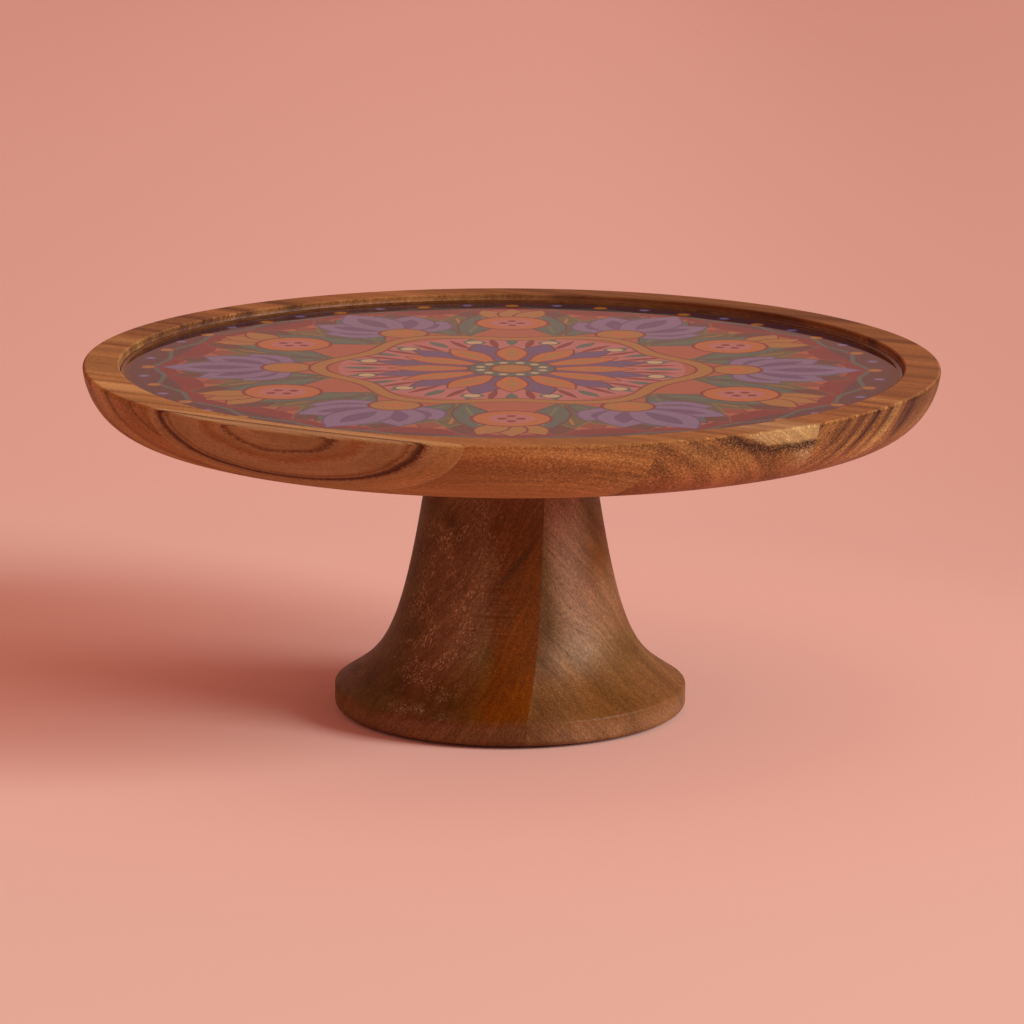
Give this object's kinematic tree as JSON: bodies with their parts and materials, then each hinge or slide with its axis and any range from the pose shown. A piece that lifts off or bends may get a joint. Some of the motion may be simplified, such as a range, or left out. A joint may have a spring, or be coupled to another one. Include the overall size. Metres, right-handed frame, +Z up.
{
  "type": "cake stand",
  "caption": "Round wooden cake stand: a shallow plate of edge-glued boards with a printed, clear-coated well, screwed onto a flared turned pedestal.",
  "frame": {"origin": "centre of the footprint, on the table", "axes": "+Z up along the turning axis, -Y towards the front"},
  "size_m": [0.305, 0.305, 0.127],
  "materials": {
    "plate_wood": "oiled acacia, satin",
    "pedestal_wood": "oiled mango wood, satin",
    "printed_sheet": "multicoloured print",
    "clear_coat": "clear gloss over the print",
    "insert_brass": "plain",
    "bolt_steel": "zinc plated",
    "pad_felt": "felt"
  },
  "bodies": {
    "root": {"plate_board_1": "plate_wood", "plate_board_2": "plate_wood", "plate_board_3": "plate_wood", "plate_board_4": "plate_wood", "plate_board_5": "plate_wood", "plate_board_6": "plate_wood", "plate_board_7": "plate_wood", "plate_board_8": "plate_wood", "printed_pattern": "printed_sheet", "clear_coat": "clear_coat", "threaded_insert": "insert_brass", "hanger_bolt": "bolt_steel", "pedestal_block_1": "pedestal_wood", "pedestal_block_2": "pedestal_wood", "pedestal_block_3": "pedestal_wood", "foot_pad_1": "pad_felt", "foot_pad_2": "pad_felt", "foot_pad_3": "pad_felt", "foot_pad_4": "pad_felt"}
  },
  "joints": []
}
